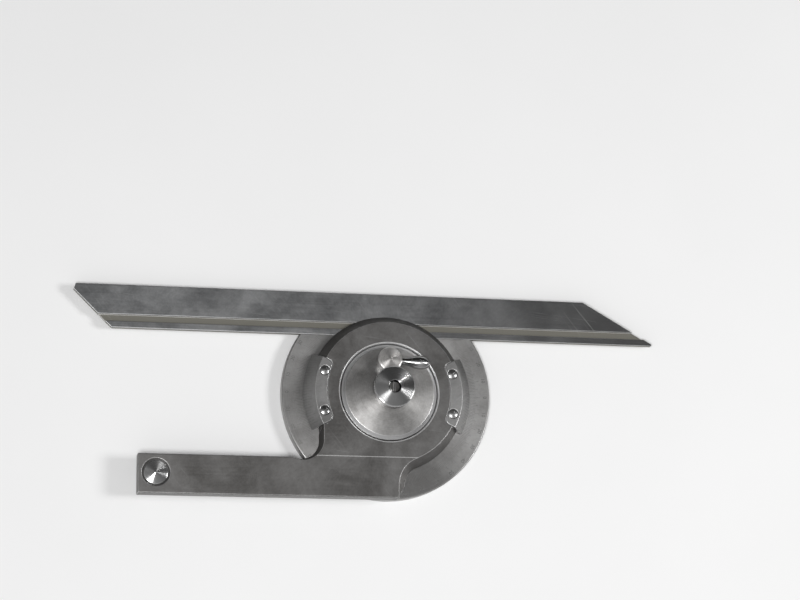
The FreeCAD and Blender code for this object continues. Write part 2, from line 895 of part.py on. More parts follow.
def make_clamp_spindle():
    """The turned boss, its shaft, and the eccentric pin that moves the hook."""
    body = new_body("clamp_spindle")
    boss = D["boss_radius"]
    edge = D["edge_break"]
    shaft = D["spindle_radius"]
    groove_high = CLIP_TOP - D["loose_fit"]
    groove_low = groove_high - D["clip_thick"] - D["loose_fit"]
    turned(
        body, "spindle_profile",
        (0, DIAL_FACE + D["fit"]),
        (shaft, DIAL_FACE + D["fit"]),
        (shaft, groove_low),
        (D["clip_groove"], groove_low),
        (D["clip_groove"], groove_high),
        (shaft, groove_high),
        (shaft, BOSS_FOOT),
        (boss, BOSS_FOOT),
        (boss, BOSS_TOP - edge),
        (boss - edge, BOSS_TOP),
        (0, BOSS_TOP),
    )
    pin = new_sketch(body, "eccentric", "XY_Plane", DIAL_FACE - D["hook_thick"])
    throw = D["eccentric_throw"]
    phase = D["eccentric_phase"] - D["lever_angle"]
    circle(pin, polar(throw, phase), D["eccentric_radius"])
    pad(body, pin, D["hook_thick"] + D["plate_gap"])

    lever_hole = new_sketch(body, "lever_hole", "YZ_Plane", boss + D["beyond"])
    circle(lever_hole, (0, D["lever_height"]), D["lever_thread"])
    pocket(body, lever_hole, D["lever_hole_depth"] + D["beyond"])
    place(body, D["clamp_x"], D["clamp_y"], turn=D["lever_angle"])


def make_clamp_lever():
    """A turned handle: thin neck, full belly, rounded end.  Its thread stands in the boss."""
    body = new_body("clamp_lever")
    thread = D["lever_thread"] - D["fit"]
    thread_end = D["lever_thread_end"]
    shoulder = D["boss_radius"] + D["fit"]
    sketch = new_sketch(body, "lever_profile", "XY_Plane")
    outline(
        sketch,
        (thread_end, 0),
        (D["lever_length"], 0),
        (D["lever_length"], D["lever_tip"]),
        (D["lever_end_at"], D["lever_end"]),
        (D["lever_belly_at"], D["lever_belly"]),
        (D["lever_shoulder_at"], D["lever_shoulder"]),
        (D["lever_waist"], D["lever_neck"]),
        (shoulder, D["lever_neck"]),
        (shoulder, thread),
        (thread_end, thread),
    )
    feature = solid_feature(body, "Revolution", "lever_turned", sketch)
    feature.ReferenceAxis = (sketch, ["H_Axis"])
    feature.Angle = 360
    place(body, D["clamp_x"], D["clamp_y"], D["lever_height"], D["lever_angle"])


def make_clamp_bush():
    body = new_body("clamp_bush")
    turned(
        body, "bush_profile",
        (D["spindle_radius"] + D["fit"], CLIP_TOP),
        (D["bush_radius"] - D["press_gap"], CLIP_TOP),
        (D["bush_radius"] - D["press_gap"], CAP_FACE),
        (D["spindle_radius"] + D["fit"], CAP_FACE),
    )
    place(body, D["clamp_x"], D["clamp_y"])


def make_spindle_clip():
    """A retaining ring with an open mouth, in the spindle's groove."""
    body = new_body("spindle_clip")
    high = CLIP_TOP - D["loose_fit"] - D["fit"]
    low = high - D["clip_thick"]
    turned(
        body, "clip_profile",
        (D["clip_groove"] + D["fit"], low),
        (D["clip_radius"], low),
        (D["clip_radius"], high),
        (D["clip_groove"] + D["fit"], high),
    )
    mouth = new_sketch(body, "mouth", "XY_Plane", high)
    half = D["clip_mouth"]
    rectangle(mouth, -half, -D["clip_radius"] - D["beyond"], half, 0)
    pocket(body, mouth)
    place(body, D["clamp_x"], D["clamp_y"], turn=D["lever_angle"])


# ---------------------------------------------------------------- the whole instrument

def make_all():
    make_stock_plate()
    make_stock_plug()
    make_vernier("vernier_right", 0)
    make_vernier("vernier_left", 180)
    for name, centre in screw_places().items():
        make_vernier_screw("vernier_screw_" + name, centre, SCREW_TURNS[name])
    make_dial_disc()
    make_dial_hub()
    make_hub_cap()
    make_release_spring()
    make_centre_stud()
    make_thrust_washer()
    make_lock_knob()
    make_blade()
    make_clamp_hook()
    make_clamp_spindle()
    make_clamp_lever()
    make_clamp_bush()
    make_spindle_clip()
    document.recompute()


def check_all():
    """Refuse to go on if any feature failed or any sub-part isn't one sound solid."""
    failed = [item.Name for item in document.Objects
              if "Invalid" in item.State or "Error" in item.State]
    if failed:
        raise RuntimeError(f"failed features: {failed}")
    for body in bodies():
        shape = body.Shape
        if shape.isNull() or not shape.isValid() or len(shape.Solids) != 1:
            raise RuntimeError(f"{body.Label} isn't one sound solid")


def bodies():
    return [item for item in document.Objects if item.isDerivedFrom("PartDesign::Body")]


def export_all():
    os.makedirs("parts", exist_ok=True)
    for body in bodies():
        body.Shape.exportStep(os.path.join("parts", body.Label + ".step"))


make_all()
check_all()
export_all()
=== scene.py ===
"""Looks of a universal bevel protractor: ground, turned and polished steel, and its graduations."""
from math import atan, cos, pi, radians, sin, tan

import bmesh
import bpy
from mathutils import Matrix, Vector


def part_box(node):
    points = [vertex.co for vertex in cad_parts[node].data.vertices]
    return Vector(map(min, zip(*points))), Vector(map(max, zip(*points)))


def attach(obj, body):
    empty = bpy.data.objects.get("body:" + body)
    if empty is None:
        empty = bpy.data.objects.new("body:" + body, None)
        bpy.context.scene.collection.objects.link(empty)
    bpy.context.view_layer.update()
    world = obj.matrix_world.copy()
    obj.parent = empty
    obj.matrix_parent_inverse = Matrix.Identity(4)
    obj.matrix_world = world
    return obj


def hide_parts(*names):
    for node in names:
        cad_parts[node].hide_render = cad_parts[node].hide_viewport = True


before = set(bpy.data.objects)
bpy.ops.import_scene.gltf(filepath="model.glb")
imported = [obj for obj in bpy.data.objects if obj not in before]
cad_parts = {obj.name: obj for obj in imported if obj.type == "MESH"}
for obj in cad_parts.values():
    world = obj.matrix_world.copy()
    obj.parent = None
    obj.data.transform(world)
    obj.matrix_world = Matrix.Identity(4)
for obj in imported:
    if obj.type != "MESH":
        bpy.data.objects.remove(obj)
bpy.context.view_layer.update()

MM = 0.001
DISC_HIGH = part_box("dial_disc")[1]
BLADE_LOW, BLADE_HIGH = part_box("blade")
SPINDLE_LOW, SPINDLE_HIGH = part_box("clamp_spindle")
LEVER_LOW, LEVER_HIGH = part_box("clamp_lever")
VERNIER_LOW, VERNIER_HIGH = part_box("vernier_right")
PLUG_LOW, PLUG_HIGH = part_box("stock_plug")

AXIS = Vector((0, 0, 0))
LINE_RISE = 0.012 * MM

# bands painted bright, as inner and outer radius: a painted highlight on the chamfer of the plate's
# opening, a painted reflection on the cap's bevel
OPENING_LIP_HIGHLIGHT = (16.5 * MM, 17.05 * MM)
CAP_BEVEL_REFLECTION = (15.0 * MM, 16.15 * MM)


def middle(box):
    """The centre of a box."""
    return (box[0] + box[1]) / 2


# ---------------------------------------------------------------- node materials

# stains and specks on handled steel: how many to a metre, and each one's share of the tone
BROAD_STAINS = 55
FINE_STAINS = 380
SPECKS = 1500
BROAD_SHARE = 0.45
FINE_SHARE = 0.35
SPECK_SHARE = 0.2

# how a grinding wheel's lines and loose scratches are drawn out, as scales along, across and upwards
GROUND_LINES = (25, 5200, 700)
LOOSE_SCRATCHES = (30, 1800, 30)
CROSS_SCRATCH_TURN = 0.9
ALONG_SCRATCH_TURN = 0.12
SCRATCH_SHINE = 0.35
SCRATCH_DEPTH = 0.8

# rings that a lathe tool leaves, per metre of radius
LATHE_RINGS = 5500

# how far handling has rounded the edges, and how bright it has rubbed them
FLAT_EDGE = 0.35 * MM
TURNED_EDGE = 0.28 * MM
LEVER_EDGE = 0.12 * MM
FLAT_EDGE_TONE = 0.78
TURNED_EDGE_TONE = 0.85

# how bright the painted highlight and painted reflection bands are, and how softly they end
LIP_HIGHLIGHT_TONE = 0.7
CAP_BEVEL_REFLECTION_TONE = 0.6
BAND_BLUR = 0.03 * MM


class Shader:
    """One material, with short calls to add nodes to it."""

    def __init__(self, name):
        self.material = bpy.data.materials.new(name)
        self.material.use_nodes = True
        self.tree = self.material.node_tree
        self.surface = self.tree.nodes["Principled BSDF"]
        self.place = self.node("TexCoord").outputs["Object"]
        self.rounded = None

    def node(self, kind, settings=None, inputs=None):
        """Add a node; an input is a number, a vector, or another node's output."""
        node = self.tree.nodes.new("ShaderNode" + kind)
        for key, value in (settings or {}).items():
            setattr(node, key, value)
        for key, value in (inputs or {}).items():
            self.feed(node.inputs[key], value)
        return node

    def feed(self, socket, value):
        """Link another node's output to a socket, or set the socket's own value."""
        if isinstance(value, bpy.types.NodeSocket):
            self.tree.links.new(value, socket)
        else:
            socket.default_value = value

    def maths(self, operation, first, second=0.0, third=0.0):
        node = self.node("Math", {"operation": operation}, {0: first, 1: second, 2: third})
        return node.outputs[0]

    def vectors(self, operation, first, second=(0, 0, 0)):
        node = self.node("VectorMath", {"operation": operation}, {0: first, 1: second})
        return node.outputs[0]

    def stretched(self, scale, turn=0.0, start=(0, 0, 0)):
        """Object coordinates moved by start, turned about Z, and scaled along each axis."""
        moved = self.node("Mapping", {"vector_type": "POINT"}, {
            "Vector": self.place, "Location": [-value for value in start]})
        turned = self.node("Mapping", {"vector_type": "POINT"}, {
            "Vector": moved.outputs[0], "Rotation": (0, 0, turn)})
        scaled = self.node("Mapping", {"vector_type": "POINT"}, {
            "Vector": turned.outputs[0], "Scale": scale})
        return scaled.outputs[0]

    def noise(self, vector, scale, detail=4.0, roughness=0.6, distortion=0.0):
        node = self.node("TexNoise", None, {
            "Vector": vector, "Scale": scale, "Detail": detail,
            "Roughness": roughness, "Distortion": distortion})
        return node.outputs["Fac"]

    def remap(self, value, low, high, to_low=0.0, to_high=1.0):
        node = self.node("MapRange", {"clamp": True}, {
            "Value": value, "From Min": low, "From Max": high,
            "To Min": to_low, "To Max": to_high})
        return node.outputs[0]

    def mix(self, factor, first, second):
        node = self.node("Mix", {"data_type": "RGBA"}, {
            "Factor": factor, 6: first, 7: second})
        return node.outputs[2]

    def ring_distance(self, centre):
        """The arm from a turned piece's axis to the surface, and its length."""
        arm = self.vectors("SUBTRACT", self.place, centre)
        arm = self.vectors("MULTIPLY", arm, (1, 1, 0))
        length = self.node("VectorMath", {"operation": "LENGTH"}, {0: arm}).outputs["Value"]
        return arm, length

    def band(self, inner, outer):
        """1 between two radii round the turning axis, 0 elsewhere."""
        radius = self.ring_distance(AXIS)[1]
        rise = self.remap(radius, inner - BAND_BLUR, inner + BAND_BLUR)
        fall = self.remap(radius, outer + BAND_BLUR, outer - BAND_BLUR)
        return self.maths("MULTIPLY", rise, fall)

    def upright(self):
        """1 on an upright side, 0 on a level face."""
        normal = self.node("NewGeometry").outputs["True Normal"]
        height = self.node("SeparateXYZ", None, {"Vector": normal}).outputs["Z"]
        return self.remap(self.maths("ABSOLUTE", height), 0.6, 0.3)

    def worn_edges(self, radius):
        """1 on a sharp edge that handling has brightened, and 0 on the open faces.

        It also keeps the direction of the rounded edge's surface, for the bump to start from.
        """
        bevel = self.node("Bevel", {"samples": 8}, {"Radius": radius})
        self.rounded = bevel.outputs[0]
        normal = self.node("NewGeometry").outputs["Normal"]
        across = self.node("VectorMath", {"operation": "DOT_PRODUCT"}, {
            0: bevel.outputs[0], 1: normal})
        return self.remap(across.outputs["Value"], 0.995, 0.85)


def grey(level, warmth=0.0):
    """A steel colour: warmth tips it towards yellow, and a negative one towards blue."""
    return (level * (1 + warmth), level, level * (1 - warmth), 1)


def stained(shader, light, dark, warmth):
    """Handled steel: broad soft stains, with finer mottling and specks in them."""
    broad = shader.noise(shader.place, BROAD_STAINS, 6, 0.62, 0.5)
    fine = shader.noise(shader.place, FINE_STAINS, 5, 0.7)
    specks = shader.noise(shader.place, SPECKS, 3, 0.7)
    broad = shader.remap(broad, 0.36, 0.64)
    fine = shader.remap(fine, 0.33, 0.67)
    specks = shader.remap(specks, 0.35, 0.65)
    blend = shader.maths("MULTIPLY", broad, BROAD_SHARE)
    blend = shader.maths("MULTIPLY_ADD", fine, FINE_SHARE, blend)
    blend = shader.maths("MULTIPLY_ADD", specks, SPECK_SHARE, blend)
    return shader.mix(blend, grey(dark, warmth), grey(light, warmth / 3)), broad


def scratches(shader, turn):
    """Fine random scratches that lie roughly one way."""
    lines = shader.noise(shader.stretched(LOOSE_SCRATCHES, turn), 1.0, 3, 0.5)
    patches = shader.noise(shader.place, 90, 2)
    lines = shader.remap(lines, 0.64, 0.72)
    return shader.maths("MULTIPLY", lines, shader.remap(patches, 0.45, 0.65))


def ground_finish(shader, turn=0.0):
    """The grinding lines of a flat face, and the loose scratches over them."""
    lines = shader.noise(shader.stretched(GROUND_LINES, turn), 1.0, 3, 0.6)
    crossing = scratches(shader, turn + CROSS_SCRATCH_TURN)
    along = scratches(shader, turn + ALONG_SCRATCH_TURN)
    marks = shader.maths("MAXIMUM", crossing, along)
    return lines, marks


def flat_tones(shader, colour, marks, edges, light):
    """Brighten the scratches and the worn edges of a flat piece."""
    colour = shader.mix(shader.maths("MULTIPLY", marks, SCRATCH_SHINE), colour, grey(light * 1.5))
    return shader.mix(edges, colour, grey(FLAT_EDGE_TONE))


def flat_bump(shader, lines, marks, strength):
    """The height of the grinding lines, with the scratches cut into them."""
    height = shader.maths("SUBTRACT", lines, shader.maths("MULTIPLY", marks, SCRATCH_DEPTH))
    return shader.node("Bump", None, {
        "Strength": strength, "Distance": 0.02 * MM, "Height": height, "Normal": shader.rounded})


def ground_steel(name, light, dark, warmth=0.02, turn=0.0, rough=0.42, painted_band=None):
    """Flat steel from the surface grinder: straight fine lines, stains and worn edges.

    The painted band is the inner and outer radius of a bright turned band round the axis: a painted
    highlight.
    """
    shader = Shader(name)
    colour, broad = stained(shader, light, dark, warmth)
    lines, marks = ground_finish(shader, turn)
    edges = shader.worn_edges(FLAT_EDGE)
    colour = flat_tones(shader, colour, marks, edges, light)
    if painted_band is not None:
        # painted highlight: the chamfer of the plate's opening is painted bright
        colour = shader.mix(shader.band(*painted_band), colour, grey(LIP_HIGHLIGHT_TONE))
    roughness = shader.maths("ADD", shader.remap(broad, 0, 1, rough - 0.05, rough + 0.08),
                             shader.remap(lines, 0.3, 0.7, -0.06, 0.06))
    roughness = shader.maths("SUBTRACT", roughness, shader.maths("MULTIPLY", edges, 0.12))
    finish(shader, colour, roughness, flat_bump(shader, lines, marks, 0.25), 0.75)
    return shader.material


def turned_steel(name, centre, light, dark, warmth=0.01, rough=0.3, grain=0.15, shine=0.6,
                 slope=0.0, ring_depth=0.35, bare=1.0, side=None, painted_band=None):
    """Steel from the lathe: fine rings about its centre, which draw light into radial streaks.

    A slope in degrees gives a flat face the very shallow cone that the tool leaves.
    Where side gives a tone, the upright side is painted that darker tone, a painted dark reflection.
    The painted band is the inner and outer radius of a bright band round the axis: a painted
    reflection.
    """
    shader = Shader(name)
    colour, broad = stained(shader, light, dark, warmth)
    arm, radius = shader.ring_distance(centre)
    rings = shader.node("TexNoise", {"noise_dimensions": "1D"}, {
        "W": radius, "Scale": LATHE_RINGS, "Detail": 3.0, "Roughness": 0.7}).outputs["Fac"]
    across = shader.vectors("NORMALIZE", arm)
    edges = shader.worn_edges(TURNED_EDGE)
    ring_tone = shader.remap(rings, 0.35, 0.65, 0.0, ring_depth)
    colour = shader.mix(ring_tone, colour, grey(light * 1.15))
    # painted reflection: upright sides are painted darker, as if they mirrored dark surroundings
    if side is not None:
        colour = shader.mix(shader.upright(), colour, grey(side))
    if painted_band is not None:
        # painted reflection: the cap's bevel is painted lighter, as if it mirrored bright
        # surroundings
        colour = shader.mix(shader.band(*painted_band), colour, grey(CAP_BEVEL_REFLECTION_TONE))
    colour = shader.mix(edges, colour, grey(TURNED_EDGE_TONE))
    roughness = shader.maths("ADD", shader.remap(broad, 0, 1, rough - 0.03, rough + 0.05),
                             shader.remap(rings, 0.3, 0.7, -0.04, 0.04))
    cone = shader.maths("MULTIPLY", radius, -tan(radians(slope)))
    shape = shader.node("Bump", None, {
        "Strength": 1.0, "Distance": 1.0, "Height": cone, "Normal": shader.rounded})
    bump = shader.node("Bump", None, {
        "Strength": grain, "Distance": 0.01 * MM, "Height": rings, "Normal": shape.outputs[0]})
    finish(shader, colour, roughness, bump, bare)
    shader.surface.inputs["Anisotropic"].default_value = shine
    shader.feed(shader.surface.inputs["Tangent"], across)
    return shader.material


def blade_steel(name, light, dark, groove):
    """The blade's ground steel, with painted shade that darkens it towards its 30 degree end.

    Its milled groove has a warmer, duller floor.
    """
    shader = Shader(name)
    colour, broad = stained(shader, light, dark, -0.025)
    lines, marks = ground_finish(shader)
    edges = shader.worn_edges(FLAT_EDGE)
    place = shader.node("SeparateXYZ", None, {"Vector": shader.place}).outputs
    deep = shader.remap(place["Z"], BLADE_HIGH.z - 0.3 * MM, BLADE_HIGH.z - 0.9 * MM)
    # painted shade: the steel is painted darker towards the far end, where its reflection dims
    painted_shade_far_end = shader.remap(place["X"], 5 * MM, 70 * MM, 0.0, 0.9)
    colour = shader.mix(painted_shade_far_end, colour, grey(dark * 0.65))
    colour = shader.mix(deep, colour, groove)
    colour = flat_tones(shader, colour, marks, edges, light)
    roughness = shader.maths("ADD", shader.remap(broad, 0, 1, 0.35, 0.48),
                             shader.remap(lines, 0.3, 0.7, -0.06, 0.06))
    roughness = shader.maths("ADD", roughness, shader.maths("MULTIPLY", deep, 0.15))
    finish(shader, colour, roughness, flat_bump(shader, lines, marks, 0.35), 0.8)
    return shader.material


def lever_steel(name, light, dark, rough, axis):
    """Bright turned steel whose rings lie round an axis, so that light runs along it."""
    shader = Shader(name)
    colour, broad = stained(shader, light, dark, 0.0)
    marks = shader.maths("MAXIMUM", scratches(shader, 0.4), scratches(shader, 1.7))
    edges = shader.worn_edges(LEVER_EDGE)
    colour = shader.mix(shader.maths("MULTIPLY", edges, 0.4), colour, grey(light * 1.3))
    roughness = shader.maths("ADD", shader.remap(broad, 0, 1, rough, rough + 0.08),
                             shader.maths("MULTIPLY", marks, 0.15))
    bump = shader.node("Bump", None, {"Strength": 0.08, "Distance": 0.01 * MM, "Height": marks})
    finish(shader, colour, roughness, bump)
    shader.surface.inputs["Anisotropic"].default_value = 0.85
    shader.feed(shader.surface.inputs["Tangent"], shader.vectors("ADD", axis))
    return shader.material


def finish(shader, colour, roughness, bump, bare=1.0):
    """Bare metal is 1; less of it lets the grey film of old steel show."""
    shader.surface.inputs["Metallic"].default_value = bare
    shader.feed(shader.surface.inputs["Base Color"], colour)
    shader.feed(shader.surface.inputs["Roughness"], roughness)
    shader.feed(shader.surface.inputs["Normal"], bump.outputs[0])


def etched_line(name):
    """The dark matt bottom of an etched line, rubbed pale in places."""
    shader = Shader(name)
    wear = shader.remap(shader.noise(shader.place, 900, 4), 0.35, 0.65)
    patches = shader.remap(shader.noise(shader.place, 70, 3), 0.4, 0.6)
    wear = shader.maths("MAXIMUM", wear, patches)
    colour = shader.mix(wear, (0.08, 0.08, 0.082, 1), (0.19, 0.188, 0.183, 1))
    shader.feed(shader.surface.inputs["Base Color"], colour)
    shader.surface.inputs["Metallic"].default_value = 0.6
    shader.feed(shader.surface.inputs["Roughness"], shader.remap(wear, 0, 1, 0.65, 0.45))
    bump = shader.node("Bump", None, {"Strength": 0.2, "Distance": 0.005 * MM, "Height": wear})
    shader.feed(shader.surface.inputs["Normal"], bump.outputs[0])
    return shader.material


def plain(name, colour, rough):
    """A matt surface with a faint mottle."""
    shader = Shader(name)
    mottle = shader.remap(shader.noise(shader.place, 12, 3), 0.3, 0.7, 0.98, 1.0)
    tone = shader.mix(mottle, (0, 0, 0, 1), colour)
    shader.feed(shader.surface.inputs["Base Color"], tone)
    shader.surface.inputs["Roughness"].default_value = rough
    return shader.material


# ---------------------------------------------------------------- mesh helpers

def piece(name, mesh_maker, material, body):
    """A new object of the whole instrument, in place, that moves with a body."""
    mesh = bpy.data.meshes.new(name)
    bm = bmesh.new()
    mesh_maker(bm)
    bm.to_mesh(mesh)
    bm.free()
    made = bpy.data.objects.new(name, mesh)
    bpy.context.scene.collection.objects.link(made)
    made.data.materials.append(material)
    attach(made, body)
    return made


def add_turned(bm, profile, place):
    """A closed solid spun from (radius, height) points, from one pole to the other."""
    verts = [bm.verts.new((radius, 0, height)) for radius, height in profile]
    edges = [bm.edges.new(pair) for pair in zip(verts, verts[1:])]
    bmesh.ops.spin(bm, geom=verts + edges, axis=(0, 0, 1), cent=(0, 0, 0), angle=2 * pi,
                   steps=72, use_merge=True)
    bmesh.ops.remove_doubles(bm, verts=bm.verts, dist=1e-7)
    bmesh.ops.recalc_face_normals(bm, faces=bm.faces)
    bmesh.ops.transform(bm, verts=bm.verts, matrix=place)


def smooth(made, angle):
    """Shade smoothly, except across edges sharper than the angle."""
    made.data.shade_smooth()
    made.data.set_sharp_from_angle(angle=radians(angle))


def add_bar(bm, size, place):
    """A small box of this size, moved by the matrix place."""
    made = bmesh.ops.create_cube(bm, size=1)["verts"]
    bmesh.ops.scale(bm, verts=made, vec=size)
    bmesh.ops.transform(bm, verts=made, matrix=place)


def radial_line(bm, angle, inner, outer, width, height, slope=0.0):
    """An engraved line along a radius; with a slope it falls outwards, as on a bevel."""
    centre = (inner + outer) / 2
    place = (Matrix.Rotation(angle, 4, "Z") @ Matrix.Translation((centre, 0, height))
             @ Matrix.Rotation(slope, 4, "Y"))
    add_bar(bm, ((outer - inner) / cos(slope), width, LINE_RISE * 2), place)


def number_mesh(text, size):
    """A flat number, centred on the origin, as a mesh."""
    curve = bpy.data.curves.new("number", "FONT")
    curve.body = text
    curve.size = size
    curve.align_x = "CENTER"
    curve.align_y = "CENTER"
    curve.extrude = LINE_RISE
    curve.resolution_u = 3
    holder = bpy.data.objects.new("number", curve)
    bpy.context.scene.collection.objects.link(holder)
    mesh = bpy.data.meshes.new_from_object(holder)
    bpy.data.objects.remove(holder)
    return mesh


def add_number(bm, text, size, place):
    """A number of this size, moved by the matrix place."""
    mesh = number_mesh(text, size)
    before = set(bm.verts)
    bm.from_mesh(mesh)
    made = [vertex for vertex in bm.verts if vertex not in before]
    bmesh.ops.transform(bm, verts=made, matrix=place)
    bpy.data.meshes.remove(mesh)


# ---------------------------------------------------------------- graduations

SCALE_INNER = VERNIER_HIGH.x + 0.15 * MM
SCALE_LONG = 3.6 * MM
SCALE_HALF = 2.9 * MM
SCALE_SHORT = 2.1 * MM
NUMBER_RADIUS = DISC_HIGH.x - 1.75 * MM
NUMBER_SIZE = 1.7 * MM
NUMBER_REACH = 0.9 * MM
LINE_WIDTH = 0.07 * MM
REBATE_EDGE = BLADE_LOW.y - 0.35 * MM


def on_ring(angle, radius):
    """True where the disc's face isn't cut away for the blade."""
    return radius * sin(radians(angle)) < REBATE_EDGE


def line_length(degree):
    """Longer at every fifth degree, and longest at every tenth."""
    if degree % 10 == 0:
        return SCALE_LONG
    if degree % 5 == 0:
        return SCALE_HALF
    return SCALE_SHORT


def main_lines(bm):
    """A line to each degree."""
    for degree in range(360):
        length = line_length(degree)
        if on_ring(degree, SCALE_INNER + length):
            radial_line(bm, radians(degree), SCALE_INNER, SCALE_INNER + length,
                        LINE_WIDTH, DISC_HIGH.z)


def main_numbers(bm):
    """0 to 90 four times round, with their tops outwards."""
    for degree in range(0, 360, 10):
        if not on_ring(degree, NUMBER_RADIUS + NUMBER_REACH):
            continue
        reading = abs((degree + 90) % 180 - 90)
        angle = radians(degree)
        place = (Matrix.Rotation(angle, 4, "Z")
                 @ Matrix.Translation((NUMBER_RADIUS, 0, DISC_HIGH.z))
                 @ Matrix.Rotation(-pi / 2, 4, "Z"))
        add_number(bm, str(reading), NUMBER_SIZE, place)


# the verniers' bevel runs from a flat top down to a thin foot beside the disc's lines
VERNIER_TOP = 25.0 * MM
VERNIER_FOOT = VERNIER_HIGH.x
FOOT_HEIGHT = VERNIER_LOW.z + 0.15 * MM
BEVEL_RUN = VERNIER_FOOT - VERNIER_TOP
BEVEL_FALL = VERNIER_HIGH.z - FOOT_HEIGHT
VERNIER_SLOPE = atan(BEVEL_FALL / BEVEL_RUN)
VERNIER_SPACES = 12
VERNIER_STEP = 23 / VERNIER_SPACES


def bevel_height(radius):
    """Height of the vernier's bevel at a radius."""
    return FOOT_HEIGHT + (VERNIER_FOOT - radius) * BEVEL_FALL / BEVEL_RUN


def vernier_lines(side):
    """Twelve spaces each way, which divide twenty-three degrees of the disc."""
    def make(bm):
        for count in range(-VERNIER_SPACES, VERNIER_SPACES + 1):
            share = 0.75 if count % 3 == 0 else 0.5
            inner = VERNIER_FOOT - BEVEL_RUN * share
            height = bevel_height((inner + VERNIER_FOOT) / 2)
            angle = side + radians(count * VERNIER_STEP)
            radial_line(bm, angle, inner, VERNIER_FOOT, LINE_WIDTH, height, VERNIER_SLOPE)
    return make


def make_graduations():
    """Lines and numbers on the disc, and lines on both verniers."""
    etched = etched_line("line_etched")
    piece("dial_lines", main_lines, etched, "dial")
    piece("dial_numbers", main_numbers, etched, "dial")
    piece("vernier_lines_right", vernier_lines(0), etched, "stock")
    piece("vernier_lines_left", vernier_lines(pi), etched, "stock")


# ---------------------------------------------------------------- clamp lever and vernier screws

LEVER_REACH = 13.5 * MM
LEVER_START = 1.85 * MM
LEVER_THREAD = 0.95 * MM
LEVER_NECK = 1.2 * MM
LEVER_BELLY = 2.33 * MM
LEVER_COLLAR = 4.15 * MM
LEVER_END = 3.4 * MM
LEVER_BLEND = 0.5 * MM
LEVER_ANGLE = radians(-3.7)
LEVER_AXIS = (cos(LEVER_ANGLE), sin(LEVER_ANGLE), 0)
LEVER_FINISH = lever_steel("lever_bright", 0.5, 0.36, 0.2, LEVER_AXIS)
SWELL_STEPS = 12
END_STEPS = 16

SCREW_SHANK = 0.6
SCREW_HEAD_DEPTH = 0.8 * MM
SCREW_EDGE = 0.18 * MM
SCREW_TIP = 0.16


def lever_profile():
    """Thread, neck, then a smooth swelling to the belly and a rounded end."""
    points = [(0, LEVER_START), (LEVER_THREAD, LEVER_START), (LEVER_THREAD, LEVER_COLLAR),
              (LEVER_NECK, LEVER_COLLAR)]
    swell_end = LEVER_REACH - LEVER_END
    swell_start = LEVER_COLLAR + LEVER_BLEND
    for step in range(SWELL_STEPS + 1):
        share = step / SWELL_STEPS
        rise = (1 - cos(pi * share)) / 2
        points.append((LEVER_NECK + (LEVER_BELLY - LEVER_NECK) * rise,
                       swell_start + (swell_end - swell_start) * share))
    for step in range(1, END_STEPS):
        turn = pi / 2 * step / END_STEPS
        points.append((LEVER_BELLY * cos(turn) ** 0.7, swell_end + LEVER_END * sin(turn)))
    points.append((0, LEVER_REACH))
    return points


def make_lever():
    """The clamp's handle, screwed into the boss."""
    axis = middle((SPINDLE_LOW, SPINDLE_HIGH))
    height = (LEVER_LOW.z + LEVER_HIGH.z) / 2
    place = (Matrix.Translation((axis.x, axis.y, height)) @ Matrix.Rotation(LEVER_ANGLE, 4, "Z")
             @ Matrix.Rotation(pi / 2, 4, "Y"))
    lever = piece("lever_turned", lambda bm: add_turned(bm, lever_profile(), place),
                  LEVER_FINISH, "clamp_lever")
    smooth(lever, 40)
    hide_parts("clamp_lever")


def screw_profile(low, high, radius):
    """Shank, head and a polished cone that the head ends in."""
    shank = radius * SCREW_SHANK
    seat = high - SCREW_HEAD_DEPTH
    return [(0, low), (shank, low), (shank, seat), (radius, seat),
            (radius, high - SCREW_EDGE * 1.6), (radius - SCREW_EDGE, high - SCREW_EDGE),
            (radius * SCREW_TIP, high), (0, high)]


def make_screws():
    """The four vernier screws, each with a turned head."""
    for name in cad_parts:
        if not name.startswith("vernier_screw"):
            continue
        low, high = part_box(name)
        centre = middle((low, high))
        place = Matrix.Translation((centre.x, centre.y, 0))
        profile = screw_profile(low.z, high.z, (high.x - low.x) / 2)
        # side gives the heads a painted dark reflection on their upright sides
        bright = turned_steel(name + "_bright", centre, 0.42, 0.26, 0.0, rough=0.3,
                              shine=0.2, side=0.1)
        head = piece(name + "_turned", lambda bm: add_turned(bm, profile, place), bright,
                     "stock")
        smooth(head, 25)
        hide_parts(name)


# ---------------------------------------------------------------- finishes of the solids

GROOVE_TONE = (0.2, 0.193, 0.168, 1)


def set_material(nodes, material):
    """Give the named solids this finish."""
    for name in nodes:
        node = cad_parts[name]
        node.data.materials.clear()
        node.data.materials.append(material)


def finish_flat_pieces():
    """Stock, verniers, blade and the flat pieces inside."""
    stock = ground_steel("stock_ground", 0.19, 0.1, 0.045, painted_band=OPENING_LIP_HIGHLIGHT)
    vernier = ground_steel("vernier_satin", 0.34, 0.22, 0.015, turn=pi / 2, rough=0.4)
    inner = ground_steel("inner_steel", 0.3, 0.2, 0.03, rough=0.45)
    blade = blade_steel("blade_ground", 0.31, 0.15, GROOVE_TONE)
    set_material(["stock_plate"], stock)
    set_material(["vernier_left", "vernier_right"], vernier)
    set_material(["clamp_hook", "release_spring", "spindle_clip"], inner)
    set_material(["blade"], blade)


